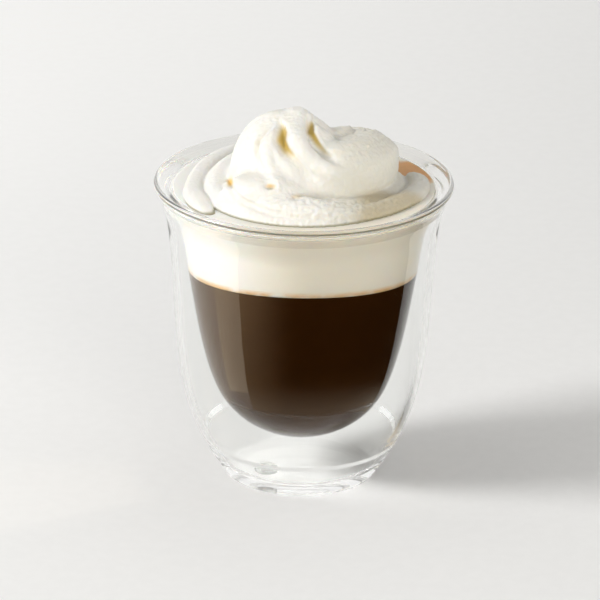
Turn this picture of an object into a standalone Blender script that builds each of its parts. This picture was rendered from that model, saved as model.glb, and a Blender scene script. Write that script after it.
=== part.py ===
"""Espresso con panna in a double-walled glass: glass, vent seal, espresso, soft cream and whipped cream.

Units are metres with +Z up. The glass stands on its foot at the origin, and -Y is the front.
"""

import math

import bmesh
import bpy
from mathutils import Vector

MM = 0.001

# Driving dimensions
RIM_DIAMETER = 70 * MM
GLASS_HEIGHT = 73.4 * MM
FOOT_RADIUS = 18.2 * MM
FOOT_INNER_RADIUS = 15.4 * MM
WALL = 1.5 * MM
BOWL_FLOOR_THICKNESS = 2.6 * MM
GAP = 0.3 * MM
TURN_STEPS = 48

# Levels inside the bowl
ESPRESSO_LEVEL = 53.2 * MM
LAYER_LEVEL = 71.6 * MM
CREAM_BASE = LAYER_LEVEL + GAP
LEVEL_SWELL = 1.3 * MM  # how much higher the espresso stands at its front and back, and lower at its sides
SWELL_STEPS = 18
SWELL_CUT = 12 * MM  # thickness of the sheets that cut the uneven face

# Bowl, as the outer face of the inner wall
BOWL_BOTTOM = 9.9 * MM
BOWL_SHOULDER = (20.3 * MM, 22.4 * MM)
BOWL_TOP = (28.65 * MM, 62 * MM)

# Outer wall
WALL_TOP = (31.5 * MM, 60 * MM)
BASE_THICKNESS = 1.6 * MM
BASE_HOLLOW = 1.1 * MM  # rise of the underside inside the foot ring
BASE_TOP = BASE_HOLLOW + BASE_THICKNESS  # floor of the air gap

# Lip, where the two walls meet: a round edge with a flat shoulder inside it
LIP_RADIUS = 1.1 * MM
LIP_CENTRE = (RIM_DIAMETER / 2 - LIP_RADIUS, GLASS_HEIGHT - LIP_RADIUS)
LIP_INSIDE = (29.9 * MM, 70.6 * MM)  # where the inner face turns outward into the shoulder
LIP_INNER_ANGLE = 115  # degrees on the round edge, where the shoulder joins it
LIP_OUTER_ANGLE = -35  # degrees on the round edge, where the outer wall joins it
CROTCH = (31.2 * MM, 68.9 * MM)  # where the air gap ends under the lip

# Vent through the base and the seal in it
VENT_PLACE = (-7.9 * MM, -7.2 * MM)
VENT_RADIUS = 2.1 * MM
VENT_CUT = 8 * MM  # height of the vent's cutter, half of it below the ground
SEAL_HEAD_RADIUS = 2.9 * MM
SEAL_HEAD_HEIGHT = 1.3 * MM

# Whipped cream: the top of the swirl
DOME_CENTRE = (-3.9 * MM, -2.0 * MM)
DOME_RADII = (13.6 * MM, 15.0 * MM)  # half its size in X and in Y
DOME_FOOT = 71.5 * MM
DOME_TOP = 90.1 * MM
DOME_FULLNESS = 2.5  # exponent of the superellipse: 2 is an ellipse, more is boxier
DROP_SHARE = 0.75  # how much of the drop counts as way along a groove
GROOVE_START = 5.5 * MM  # way from the peak to where the grooves begin
GROOVE_FULL = 9.5 * MM
GROOVE_FADE = 15.0 * MM
GROOVE_END = 26.0 * MM
TWIST_START = 12.0 * MM
TWIST = 0.33 / MM**2  # degrees by way squared, so that the grooves lean ever more to the right
GROOVES = (  # direction in degrees from the front towards the right, width to its left and right, depth
    (-95, 15, 13, 0.9 * MM),
    (-47, 13, 12, 1.3 * MM),
    (-5, 19, 9, 2.9 * MM),
    (40, 12, 12, 3.0 * MM),
    (84, 14, 10, 2.0 * MM),
    (128, 16, 12, 2.2 * MM),
    (174, 17, 11, 1.8 * MM),
    (219, 14, 12, 2.1 * MM),
)
PEAKS = (  # place in X and Y, height and width of the small peaks that the nozzle left on top
    (-1.5 * MM, -1.6 * MM, 1.4 * MM, 2.9 * MM),
    (-7.8 * MM, -2.4 * MM, 0.8 * MM, 2.3 * MM),
)

# Whipped cream: the ropes below the top, as direction from +X, radius, height and thickness
MAIN_COIL = (
    (-95, 7.6 * MM, 76.8 * MM, 6.6 * MM),
    (-75, 9.0 * MM, 77.2 * MM, 7.4 * MM),
    (-45, 11.0 * MM, 77.6 * MM, 7.9 * MM),
    (-20, 13.2 * MM, 77.8 * MM, 7.9 * MM),
    (3, 14.8 * MM, 77.8 * MM, 7.8 * MM),
    (16, 15.0 * MM, 76.7 * MM, 7.5 * MM),
    (32, 15.3 * MM, 75.6 * MM, 7.0 * MM),
    (52, 15.7 * MM, 74.7 * MM, 6.2 * MM),
    (90, 16.5 * MM, 73.9 * MM, 5.3 * MM),
    (135, 17.8 * MM, 72.6 * MM, 4.3 * MM),
    (160, 18.8 * MM, 72.0 * MM, 4.0 * MM),
    (180, 19.6 * MM, 71.4 * MM, 3.8 * MM),
    (202, 21.2 * MM, 71.3 * MM, 3.6 * MM),
    (225, 23.0 * MM, 71.2 * MM, 3.6 * MM),
    (250, 24.0 * MM, 71.0 * MM, 3.4 * MM),
    (275, 24.6 * MM, 70.7 * MM, 3.0 * MM),
    (300, 24.9 * MM, 70.5 * MM, 2.6 * MM),
    (318, 25.2 * MM, 70.5 * MM, 2.1 * MM),
    (325, 25.3 * MM, 70.6 * MM, 1.2 * MM),
)
UPPER_COIL = (
    (190, 15.5 * MM, 72.6 * MM, 2.2 * MM),
    (205, 17.8 * MM, 73.4 * MM, 3.0 * MM),
    (228, 19.8 * MM, 73.3 * MM, 3.7 * MM),
    (246, 21.0 * MM, 72.8 * MM, 4.4 * MM),
    (265, 21.5 * MM, 72.6 * MM, 4.6 * MM),
    (290, 22.8 * MM, 71.8 * MM, 3.8 * MM),
    (311, 24.0 * MM, 70.9 * MM, 3.3 * MM),
    (332, 24.8 * MM, 70.8 * MM, 3.3 * MM),
    (350, 26.2 * MM, 70.7 * MM, 3.2 * MM),
    (368, 27.0 * MM, 70.6 * MM, 2.9 * MM),
    (376, 26.8 * MM, 70.4 * MM, 2.5 * MM),
    (382, 26.6 * MM, 70.4 * MM, 1.2 * MM),
)
OUTER_COIL = (
    (82, 21.0 * MM, 71.6 * MM, 1.2 * MM),
    (100, 22.6 * MM, 71.9 * MM, 2.2 * MM),
    (118, 24.0 * MM, 72.4 * MM, 2.6 * MM),
    (137, 24.8 * MM, 72.3 * MM, 2.7 * MM),
    (160, 24.8 * MM, 71.8 * MM, 2.6 * MM),
    (180, 25.3 * MM, 71.2 * MM, 2.5 * MM),
    (195, 26.6 * MM, 70.9 * MM, 2.5 * MM),
    (204, 27.5 * MM, 70.8 * MM, 2.3 * MM),
    (211, 28.0 * MM, 71.0 * MM, 1.1 * MM),
)
COIL_STEP = 6  # degrees
ROPE_RIB_DEPTH = 0.07

# Whipped cream: the low heap between the ropes
HEAP = ((0.0, 75.0 * MM), (19 * MM, 74.0 * MM), (22.8 * MM, 73.1 * MM), (24.8 * MM, 71.6 * MM))
HEAP_BOTTOM = 70 * MM
HEAP_STEPS = 40


def bezier(start, start_handle, end_handle, end, count):
    """Points of a cubic curve from start to end, both included."""
    points = []
    for i in range(count + 1):
        t = i / count
        s = 1 - t
        weights = (s**3, 3 * s * s * t, 3 * s * t * t, t**3)
        knots = (start, start_handle, end_handle, end)
        points.append(tuple(sum(w * k[axis] for w, k in zip(weights, knots)) for axis in (0, 1)))
    return points


def arc(centre, width, height, start_angle, end_angle, count):
    """Points of an elliptical arc with half its width and height given, and the angles in degrees."""
    points = []
    for i in range(count + 1):
        a = math.radians(start_angle + (end_angle - start_angle) * i / count)
        points.append((centre[0] + width * math.cos(a), centre[1] + height * math.sin(a)))
    return points


def offset(points, distance):
    """The outline moved sideways by distance, to its left when distance is positive."""
    moved = []
    for i, point in enumerate(points):
        before = Vector(points[max(i - 1, 0)])
        after = Vector(points[min(i + 1, len(points) - 1)])
        along = (after - before).normalized()
        moved.append((point[0] - along.y * distance, point[1] + along.x * distance))
    return moved


def joined(*outlines):
    """One outline from several that meet end to end."""
    points = list(outlines[0])
    for outline in outlines[1:]:
        points += outline[1:]
    return points


def bowl_outline():
    """Outer face of the inner wall, from the bottom of the bowl up."""
    x, z = BOWL_SHOULDER
    lower = bezier((0, BOWL_BOTTOM), (8.5 * MM, BOWL_BOTTOM), (x - 3.6 * MM, z - 8 * MM), (x, z), 7)
    top_x, top_z = BOWL_TOP
    upper = bezier((x, z), (x + 4.05 * MM, z + 9 * MM), (top_x - 2.55 * MM, top_z - 15 * MM), BOWL_TOP, 4)
    return joined(lower, upper)


def lip_edge():
    """The round outer edge of the lip, over its top from the shoulder to the outer wall."""
    return arc(LIP_CENTRE, LIP_RADIUS, LIP_RADIUS, LIP_INNER_ANGLE, LIP_OUTER_ANGLE, 7)


def bowl_inside():
    """Inner face of the bowl from the middle of its floor up to the lip. The floor is thicker than the wall."""
    inside = []
    for x, z in offset(bowl_outline(), WALL):
        share = max(0.0, 1 - (z - BOWL_BOTTOM) / (9 * MM))
        inside.append((max(x, 0.0), z + (BOWL_FLOOR_THICKNESS - WALL) * share**2))
    inside[0] = (0.0, BOWL_BOTTOM + BOWL_FLOOR_THICKNESS)
    x, z = inside[-1]
    lip_x, lip_z = LIP_INSIDE
    neck = bezier((x, z), (x + 0.7 * MM, z + 3.5 * MM), (lip_x - 0.6 * MM, lip_z - 3 * MM), LIP_INSIDE, 3)
    end_x, end_z = lip_edge()[0]
    a = math.radians(LIP_INNER_ANGLE)
    before = (end_x - 2 * MM * math.sin(a), end_z + 2 * MM * math.cos(a))
    shoulder = bezier(LIP_INSIDE, (lip_x + 0.25 * MM, lip_z + 1.3 * MM), before, (end_x, end_z), 4)
    return joined(inside, neck, shoulder)


def wall_outline():
    """Outer face of the outer wall, from the foot up to the flare under the lip."""
    body = bezier((FOOT_RADIUS, 0.2 * MM), (31.6 * MM, 20.2 * MM), (29.0 * MM, 32.0 * MM), WALL_TOP, 9)
    x, z = WALL_TOP
    end_x, end_z = lip_edge()[-1]
    handles = ((x + 0.4 * MM, z + 5 * MM), (end_x - 1.2 * MM, end_z - 1.4 * MM))
    flare = bezier((x, z), *handles, (end_x, end_z), 3)
    return joined(body, flare)


def turned(name, outline, steps=TURN_STEPS):
    """A body turned about the Z axis. The outline runs down its outer side."""
    mesh = bpy.data.meshes.new(name)
    edges = [(i, i + 1) for i in range(len(outline) - 1)]
    mesh.from_pydata([(x, 0, z) for x, z in outline], edges, [])
    body = bpy.data.objects.new(name, mesh)
    screw = body.modifiers.new("Turn", "SCREW")
    screw.steps = steps
    screw.render_steps = steps
    screw.use_merge_vertices = True
    screw.merge_threshold = 0.00001
    return body


def flattened(body):
    """The same object with its modifiers applied."""
    bpy.context.view_layer.update()
    graph = bpy.context.evaluated_depsgraph_get()
    mesh = bpy.data.meshes.new_from_object(body.evaluated_get(graph))
    body.modifiers.clear()
    body.data = mesh
    return body


def cut(body, cutter, operation="DIFFERENCE"):
    """Adds a Boolean of cutter to body."""
    boolean = body.modifiers.new(cutter.name, "BOOLEAN")
    boolean.operation = operation
    boolean.solver = "EXACT"
    boolean.object = cutter


def smooth(body, sharp_angle=35):
    """Shades a round piece smooth, with its sharp edges kept."""
    flattened(body)
    body.data.shade_smooth()
    body.data.set_sharp_from_angle(angle=math.radians(sharp_angle))


def material(name, colour, roughness, metallic=0.0, transmission=0.0, ior=1.45):
    """A Principled material."""
    made = bpy.data.materials.new(name)
    made.use_nodes = True
    shader = made.node_tree.nodes["Principled BSDF"]
    shader.inputs["Base Color"].default_value = (*colour, 1.0)
    shader.inputs["Roughness"].default_value = roughness
    shader.inputs["Metallic"].default_value = metallic
    shader.inputs["Transmission Weight"].default_value = transmission
    shader.inputs["IOR"].default_value = ior
    return made


def make_glass(parts, cutters):
    """The glass in one piece: bowl, lip, outer wall and foot, with the air gap and its vent cut out."""
    foot = [(FOOT_RADIUS - 0.3 * MM, 0.0), (FOOT_INNER_RADIUS, 0.0)]
    underside = [(FOOT_INNER_RADIUS - 1.2 * MM, 0.7 * BASE_HOLLOW), (0.0, BASE_HOLLOW)]
    outline = joined(bowl_inside(), lip_edge(), wall_outline()[::-1]) + foot + underside
    glass = turned("glass", outline)
    parts.objects.link(glass)

    ceiling = [p for p in bowl_outline() if p[1] < CROTCH[1] - 2 * MM]
    side = [p for p in offset(wall_outline(), WALL) if BASE_TOP < p[1] < CROTCH[1] - 3 * MM]
    floor = [(FOOT_RADIUS - 2 * MM, BASE_TOP - 0.5 * MM), (0.0, BASE_TOP)]
    hollow = turned("air_gap", ceiling + [CROTCH] + side[::-1] + floor)
    hollow.data.flip_normals()
    cutters.objects.link(hollow)
    bpy.ops.mesh.primitive_cylinder_add(
        vertices=24, radius=VENT_RADIUS, depth=VENT_CUT, location=(*VENT_PLACE, 0.0)
    )
    vent = bpy.context.object
    vent.name = "vent"
    move_to(vent, cutters)
    cut(glass, hollow)
    cut(glass, vent)
    smooth(glass)
    return glass


def make_seal(parts):
    """The small domed seal that closes the vent from inside the air gap."""
    floor = BASE_TOP + GAP
    dome = arc((0, floor), SEAL_HEAD_RADIUS, SEAL_HEAD_HEIGHT, 90, 0, 6)
    stem_radius = VENT_RADIUS - GAP
    stem_end = BASE_HOLLOW + 0.3 * MM
    outline = dome + [(stem_radius, floor), (stem_radius, stem_end), (0.0, stem_end)]
    seal = turned("vent_seal", outline, 24)
    seal.location = (*VENT_PLACE, 0.0)
    parts.objects.link(seal)
    smooth(seal)
    return seal


def filling_outline(bottom, top):
    """The rows of the bowl's inside between two heights, and all of them, kept one gap off the glass."""
    inside = offset(bowl_inside(), GAP)
    inside[0] = (0.0, BOWL_BOTTOM + BOWL_FLOOR_THICKNESS + GAP)
    rows = [p for p in inside if bottom < p[1] < top]
    return rows, inside


def radius_at(outline, height):
    """Radius of a rising outline at one height."""
    for low, high in zip(outline, outline[1:]):
        if low[1] <= height <= high[1]:
            share = (height - low[1]) / (high[1] - low[1])
            return low[0] + (high[0] - low[0]) * share
    return outline[-1][0]


def swell_sheet(name, height, thickness, cutters):
    """A thick sheet on the uneven face between espresso and cream, upward for a positive thickness."""
    bpy.ops.mesh.primitive_grid_add(
        x_subdivisions=SWELL_STEPS, y_subdivisions=SWELL_STEPS, size=RIM_DIAMETER, location=(0, 0, height)
    )
    sheet = bpy.context.object
    sheet.name = name
    for vertex in sheet.data.vertices:
        x, y = vertex.co.x / BOWL_TOP[0], vertex.co.y / BOWL_TOP[0]
        vertex.co.z = LEVEL_SWELL * (y * y - x * x)
    solid = sheet.modifiers.new("Thickness", "SOLIDIFY")
    solid.thickness = abs(thickness)
    solid.offset = math.copysign(1.0, thickness)
    move_to(sheet, cutters)
    return sheet


def make_espresso(parts, cutters):
    """The coffee, up to the uneven face below the cream."""
    top = ESPRESSO_LEVEL + 3 * MM
    rows, inside = filling_outline(0.0, top)
    outline = [(0.0, top), (radius_at(inside, top), top)] + rows[::-1]
    espresso = turned("espresso", outline)
    parts.objects.link(espresso)
    cut(espresso, swell_sheet("above_espresso", ESPRESSO_LEVEL - GAP / 2, SWELL_CUT, cutters))
    smooth(espresso)
    return espresso


def make_layer(parts, cutters):
    """The layer of soft cream between the espresso and the whipped cream."""
    bottom = ESPRESSO_LEVEL - 4 * MM
    rows, inside = filling_outline(bottom, LAYER_LEVEL)
    outline = [(0.0, LAYER_LEVEL), (radius_at(inside, LAYER_LEVEL), LAYER_LEVEL)] + rows[::-1]
    outline += [(radius_at(inside, bottom), bottom), (0.0, bottom)]
    layer = turned("cream_layer", outline)
    parts.objects.link(layer)
    cut(layer, swell_sheet("below_layer", ESPRESSO_LEVEL + GAP / 2, -SWELL_CUT, cutters))
    smooth(layer)
    return layer


def groove_depth(front, way):
    """How deep the surface is pressed in, at one direction from the front and one way down from the peak."""
    turned_back = math.degrees(front) - TWIST * max(0.0, way - TWIST_START) ** 2
    deepest = 0.0
    for middle, left_width, right_width, depth in GROOVES:
        away = (turned_back - middle + 180) % 360 - 180
        share = abs(away) / (left_width if away < 0 else right_width)
        deepest = max(deepest, depth * max(0.0, 1 - share**1.3))
    fade_in = min(1.0, max(0.0, (way - GROOVE_START) / (GROOVE_FULL - GROOVE_START)))
    fade_out = min(1.0, max(0.0, (GROOVE_END - way) / (GROOVE_END - GROOVE_FADE)))
    return deepest * fade_in * fade_out**1.5


def dome_point(direction, polar):
    """A point of the swirl's top. polar is 0 at the peak and a half turn at the underside."""
    height = DOME_TOP - DOME_FOOT
    if polar <= math.pi / 2:
        share = math.sin(polar) ** (2 / DOME_FULLNESS)
        rise = height * math.cos(polar) ** (2 / DOME_FULLNESS)
    else:
        share = math.sin(polar)
        rise = 2 * MM * math.cos(polar)
    radius = DOME_RADII[0] * DOME_RADII[1] / math.hypot(
        DOME_RADII[1] * math.cos(direction), DOME_RADII[0] * math.sin(direction)
    )
    way = share * radius + DROP_SHARE * (height - max(rise, 0.0))
    groove = groove_depth(direction + math.pi / 2, way)
    outward = share**2
    reach = share * radius - groove * outward
    rise -= groove * (1 - outward) * 0.8
    x = DOME_CENTRE[0] + reach * math.cos(direction)
    y = DOME_CENTRE[1] + reach * math.sin(direction)
    z = DOME_FOOT + rise
    if rise > 0:
        for peak_x, peak_y, peak_height, width in PEAKS:
            away = math.hypot(x - peak_x, y - peak_y) / width
            z += peak_height * math.exp(-away * away)
    return x, y, z


def make_dome():
    """The top of the swirl, with the grooves of the star nozzle winding down from its peak."""
    shape = bmesh.new()
    bmesh.ops.create_uvsphere(shape, u_segments=90, v_segments=30, radius=1.0)
    for vertex in shape.verts:
        polar = math.acos(max(-1.0, min(1.0, vertex.co.z)))
        direction = math.atan2(vertex.co.y, vertex.co.x)
        vertex.co = dome_point(direction, polar)
    mesh = bpy.data.meshes.new("whipped_cream")
    shape.to_mesh(mesh)
    shape.free()
    return bpy.data.objects.new("whipped_cream", mesh)


def between_rows(rows, direction):
    """Radius, height and thickness of a rope at one direction, on a smooth curve through its rows."""
    last = len(rows) - 1
    i = 0
    while i < last - 1 and direction > rows[i + 1][0]:
        i += 1
    before, low, high, after = rows[max(i - 1, 0)], rows[i], rows[i + 1], rows[min(i + 2, last)]
    span = high[0] - low[0]
    t = min(1.0, max(0.0, (direction - low[0]) / span))
    values = []
    for k in (1, 2, 3):
        low_slope = (high[k] - before[k]) / (high[0] - before[0]) * span
        high_slope = (after[k] - low[k]) / (after[0] - low[0]) * span
        rise = (3 - 2 * t) * t * t
        values.append(
            low[k] + (high[k] - low[k]) * rise + low_slope * t * (1 - t) ** 2 - high_slope * (1 - t) * t * t
        )
    return values


def make_rope(name, rows, ribs, parts):
    """A ribbed rope of cream laid along the rows, with closed ends."""
    sides = 3 * ribs
    shape = bmesh.new()
    first, last = rows[0][0], rows[-1][0]
    count = round((last - first) / COIL_STEP)
    rings = []
    for i in range(count + 1):
        direction = first + (last - first) * i / count
        radius, height, thickness = between_rows(rows, direction)
        outward = Vector((math.cos(math.radians(direction)), math.sin(math.radians(direction)), 0))
        ring = []
        for j in range(sides):
            a = 2 * math.pi * j / sides
            size = thickness * (1 - ROPE_RIB_DEPTH * (j % 3 == 0))
            place = outward * (radius + size * math.cos(a)) + Vector((0, 0, height + size * math.sin(a)))
            ring.append(shape.verts.new(place))
        rings.append(ring)
    for low, high in zip(rings, rings[1:]):
        for j in range(sides):
            k = (j + 1) % sides
            shape.faces.new((low[j], low[k], high[k], high[j]))
    for ring in (rings[0], rings[-1]):
        shape.faces.new(ring)
    bmesh.ops.recalc_face_normals(shape, faces=shape.faces)
    mesh = bpy.data.meshes.new(name)
    shape.to_mesh(mesh)
    shape.free()
    parts.objects.link(bpy.data.objects.new(name, mesh))


def make_cream(parts, cutters):
    """The whipped cream in one piece: the swirl's top, its coils and the cream between them."""
    strands = bpy.data.collections.new("cream_strands")
    bpy.context.scene.collection.children.link(strands)
    make_rope("main_coil", MAIN_COIL, 7, strands)
    make_rope("upper_coil", UPPER_COIL, 5, strands)
    make_rope("outer_coil", OUTER_COIL, 4, strands)
    heap = turned("heap", list(HEAP) + [(HEAP[-1][0], HEAP_BOTTOM), (0.0, HEAP_BOTTOM)], HEAP_STEPS)
    strands.objects.link(heap)
    flattened(heap)
    cream = make_dome()
    parts.objects.link(cream)
    union = cream.modifiers.new("Union", "BOOLEAN")
    union.operation = "UNION"
    union.solver = "EXACT"
    union.operand_type = "COLLECTION"
    union.collection = strands
    radius = radius_at(offset(bowl_inside(), GAP), CREAM_BASE)
    over = DOME_TOP + 10 * MM
    mould_outline = [(0.0, over), (radius, over), (radius, CREAM_BASE), (0.0, CREAM_BASE)]
    mould = turned("mould", mould_outline)
    cutters.objects.link(mould)
    cut(cream, mould, "INTERSECT")
    smooth(cream, 50)
    for strand in list(strands.objects):
        bpy.data.objects.remove(strand)
    bpy.data.collections.remove(strands)
    return cream


def move_to(body, collection):
    """Puts an object that an operator made into one collection."""
    for holder in list(body.users_collection):
        holder.objects.unlink(body)
    collection.objects.link(body)


def main():
    """Makes the glass and what is in it."""
    for old in list(bpy.data.objects):
        bpy.data.objects.remove(old)
    scene = bpy.context.scene
    parts = bpy.data.collections.new("espresso_con_panna")
    cutters = bpy.data.collections.new("cutters")
    scene.collection.children.link(parts)
    scene.collection.children.link(cutters)
    finishes = {
        make_glass(parts, cutters): material("clear_glass", (1.0, 1.0, 1.0), 0.02, transmission=1.0, ior=1.5),
        make_seal(parts): material("seal_glass", (0.95, 0.96, 0.92), 0.1, transmission=1.0, ior=1.5),
        make_espresso(parts, cutters): material("espresso", (0.045, 0.018, 0.006), 0.08),
        make_layer(parts, cutters): material("cream_layer", (0.80, 0.72, 0.58), 0.45),
        make_cream(parts, cutters): material("whipped_cream", (0.93, 0.90, 0.82), 0.5),
    }
    for body, finish in finishes.items():
        body.data.materials.clear()
        body.data.materials.append(finish)
    for cutter in cutters.objects:
        cutter.hide_render = True
        cutter.display_type = "WIRE"


main()
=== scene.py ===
"""Looks of an espresso con panna in a double-walled glass.

The glass, the coffee, the soft cream and the piped swirl are modelled finely around the frame.
Units are metres with +Z up, and the front of the glass faces -Y.
"""

import math

import bpy
from mathutils import Matrix, Vector, noise


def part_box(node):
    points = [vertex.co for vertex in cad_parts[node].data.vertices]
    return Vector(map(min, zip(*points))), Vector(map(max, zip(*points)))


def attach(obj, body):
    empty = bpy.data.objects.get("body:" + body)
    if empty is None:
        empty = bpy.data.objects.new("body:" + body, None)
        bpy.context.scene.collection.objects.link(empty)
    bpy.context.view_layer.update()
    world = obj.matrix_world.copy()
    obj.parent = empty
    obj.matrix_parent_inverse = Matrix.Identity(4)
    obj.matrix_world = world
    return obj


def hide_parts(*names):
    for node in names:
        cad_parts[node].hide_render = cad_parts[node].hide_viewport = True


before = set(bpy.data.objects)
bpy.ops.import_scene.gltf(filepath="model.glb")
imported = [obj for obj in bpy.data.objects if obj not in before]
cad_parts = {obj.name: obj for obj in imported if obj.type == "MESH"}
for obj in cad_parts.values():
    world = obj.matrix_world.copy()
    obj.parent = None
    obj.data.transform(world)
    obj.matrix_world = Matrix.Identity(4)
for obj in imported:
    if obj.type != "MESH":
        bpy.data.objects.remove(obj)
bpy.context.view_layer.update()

MM = 0.001
SPIN_STEPS = 144

glass_low, glass_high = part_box("glass")
espresso_low, espresso_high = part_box("espresso")
layer_low, layer_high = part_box("cream_layer")
cream_low, cream_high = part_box("whipped_cream")
seal_low, seal_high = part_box("vent_seal")

# Glass
GLASS_HEIGHT = glass_high[2]
RIM_RADIUS = (glass_high[0] - glass_low[0]) / 2
FOOT_RADIUS = 18.2 * MM
FOOT_INNER_RADIUS = 15.9 * MM
FOOT_BEND = 1.6 * MM
FOOT_ANGLE = -34.5  # degrees at which the outer wall runs into the bend of the foot
FOOT_CENTRE = (FOOT_RADIUS - 1.32 * MM, FOOT_BEND)
BASE_FLAT = 9.0 * MM
WALL = 1.5 * MM
BOWL_FLOOR_THICKNESS = 2.6 * MM
BOWL_BOTTOM = 9.9 * MM
BOWL_SHOULDER = (20.3 * MM, 22.4 * MM)
BOWL_TOP = (28.65 * MM, 62 * MM)
WALL_TOP = (31.5 * MM, 60 * MM)
BASE_HOLLOW = 0.35 * MM
GAP_FLOOR = 2.5 * MM
GAP_FLOOR_RADIUS = 14.2 * MM
LIP_RADIUS = 0.75 * MM
LIP_WALL = 1.3 * MM  # thickness of the glass above the air gap
LIP_CENTRE = (RIM_RADIUS - LIP_RADIUS, GLASS_HEIGHT - LIP_RADIUS)
LIP_INSIDE = (29.9 * MM, 70.6 * MM)
LIP_INNER_ANGLE = 115
LIP_OUTER_ANGLE = -35
GAP_TIP = (31.9 * MM, 70.6 * MM)  # centre of the rounded top of the air gap
GAP_TIP_RADIUS = 0.2 * MM
WALL_PARTING = 0.3 * MM  # how far out from the bowl the outer wall's finish starts
BOWL_IOR = 1.47
WALL_IOR = 1.1  # low, so that the thin outer wall stays as faint as it looks
LIP_IOR = 1.47
LIP_TINT = (0.955, 0.95, 0.93)
PAINTED_EDGE_SHADE = (0.10, 0.095, 0.07)  # painted shade: colour of the thin dark line along the lip's front edge, which stands in for the dark refraction there
PAINTED_EDGE_HALF_WIDTH = 0.32 * MM
LIP_START = 68.5 * MM
GLASS_BOUNCES = 32  # how often light may be reflected to and fro inside the glass

# Fillings
LAYER_LEVEL = layer_high[2]
LEVEL_SWELL = 1.3 * MM
SWELL_FADE = 9 * MM
ESPRESSO_LEVEL = espresso_high[2] - LEVEL_SWELL * 0.75
WALL_REACH = 0.10 * MM  # how far the fillings reach into the glass
LAYER_REACH = 0.12 * MM
GOLDEN_HEIGHT = 1.6 * MM  # up to where crema tints the foot of the soft cream
PATCH_PLACE = (25.0 * MM, 11.0 * MM)  # brown crema on the soft cream's top
PATCH_RADIUS = 10 * MM
FOOT_SHADE = LAYER_LEVEL + 0.7 * MM  # painted shade: below it the front of the whipped cream is painted darker towards the glass

# Whipped cream: the top of the swirl
DOME_CENTRE = (-3.9 * MM, -2.0 * MM)
DOME_RADII = (13.6 * MM, 15.0 * MM)
DOME_FOOT = 71.5 * MM
DOME_TOP = 90.1 * MM
DOME_FULLNESS = 2.5
DROP_SHARE = 0.75
BRIDGES = (  # centre and radii of the cream that joins the top to its right shoulder and to the front coil
    ((2.0 * MM, -9.0 * MM, 77.0 * MM), (7.5 * MM, 7.0 * MM, 7.5 * MM)),
    ((-9.0 * MM, -15.3 * MM, 75.2 * MM), (10.0 * MM, 6.4 * MM, 5.2 * MM)),
    ((9.5 * MM, 1.0 * MM, 79.6 * MM), (7.5 * MM, 8.0 * MM, 6.2 * MM)),
)
BACK_GROOVE_START = 5.5 * MM
BACK_GROOVE_FULL = 9.5 * MM
BACK_GROOVE_FADE = 15.0 * MM
BACK_GROOVE_END = 26.0 * MM
TWIST_START = 12.0 * MM
TWIST = 0.33 / MM**2
BACK_GROOVES = (  # direction in degrees from the front towards the right, width to its left and right, depth
    (84, 14, 10, 2.0 * MM),
    (128, 16, 12, 2.2 * MM),
    (174, 17, 11, 1.8 * MM),
    (219, 14, 12, 2.1 * MM),
    (262, 14, 12, 1.4 * MM),
)
VIEW_DROP = 0.37  # how far a point looks lower for each millimetre that it is nearer to the front
VIEW_LEVEL = 73 * MM
GROOVE_FULLNESS = 1.3
GROOVE_SHADE_DEPTH = 2.5  # mm, the depth at which a groove has its full painted shade
FRONT_GROOVES = (  # as seen from the front: width to the left and right, then across, up and depth, in mm
    (2.6, 2.2, ((-12.2, 14.2, 0.0), (-12.8, 10.0, 0.5), (-12.9, 6.0, 0.6), (-12.2, 2.0, 0.3),
                (-11.0, -1.0, 0.0))),
    (2.4, 0.7, ((-7.0, 14.0, 0.6), (-8.9, 11.7, 1.1), (-10.3, 9.6, 1.3), (-10.7, 6.8, 1.2), (-9.6, 3.6, 0.9),
                (-8.0, 0.6, 0.4), (-6.4, -2.0, 0.0))),
    (2.6, 0.9, ((-5.0, 13.6, 1.4), (-4.5, 11.7, 2.6), (-4.8, 9.8, 2.9), (-3.9, 7.8, 2.4), (-2.0, 5.6, 1.3),
                (0.3, 3.1, 0.9), (2.6, 0.5, 0.7), (4.6, -2.4, 0.0))),
    (1.8, 0.9, ((1.7, 14.0, 2.2), (1.7, 11.9, 2.8), (3.0, 9.5, 2.3), (4.8, 7.1, 1.5), (6.6, 5.6, 0.8),
                (8.4, 4.7, 0.2))),
    (1.0, 1.6, ((3.0, 14.8, 1.2), (5.2, 13.1, 1.4), (6.8, 11.6, 0.8), (7.8, 10.2, 0.0))),
)
FRONT_RIDGES = (  # the same for the ridges between the grooves, with their height
    (2.2, 1.8, ((-8.0, 11.4, 0.2), (-9.0, 7.0, 1.0), (-8.2, 3.4, 1.0), (-6.2, 0.4, 0.6), (-4.2, -2.0, 0.0))),
    (2.6, 2.2, ((-1.1, 13.4, 0.4), (-1.6, 10.0, 1.2), (-0.2, 7.0, 1.3), (2.7, 4.2, 1.2), (6.2, 2.4, 0.8),
                (10.0, 1.2, 0.0))),
    (1.4, 1.2, ((3.8, 13.2, 0.2), (5.6, 11.2, 0.6), (7.4, 8.4, 0.15), (8.6, 6.6, 0.0))),
)
LOW_GROOVES = (  # the same for the groove between the two front coils
    (1.3, 1.0, ((-17.2, -1.1, 0.9), (-15.8, -3.6, 0.9), (-14.0, -5.2, 0.9), (-11.6, -6.2, 0.8),
                (-7.2, -8.0, 0.5), (-3.5, -8.8, 0.0))),
)
POCKETS = (  # small dents as seen from the front: across, up, half width, half height and depth, in mm
    (-17.1, -0.7, 1.2, 1.7, 2.0),
    (-7.6, -1.5, 1.9, 1.0, 1.4),
    (-1.8, -4.0, 2.4, 1.1, 0.8),
)
PEAKS = (  # place in X and Y, height and width
    (-1.5 * MM, -1.6 * MM, 1.9 * MM, 2.9 * MM),
    (-7.8 * MM, -2.4 * MM, 1.0 * MM, 2.3 * MM),
)

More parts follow.
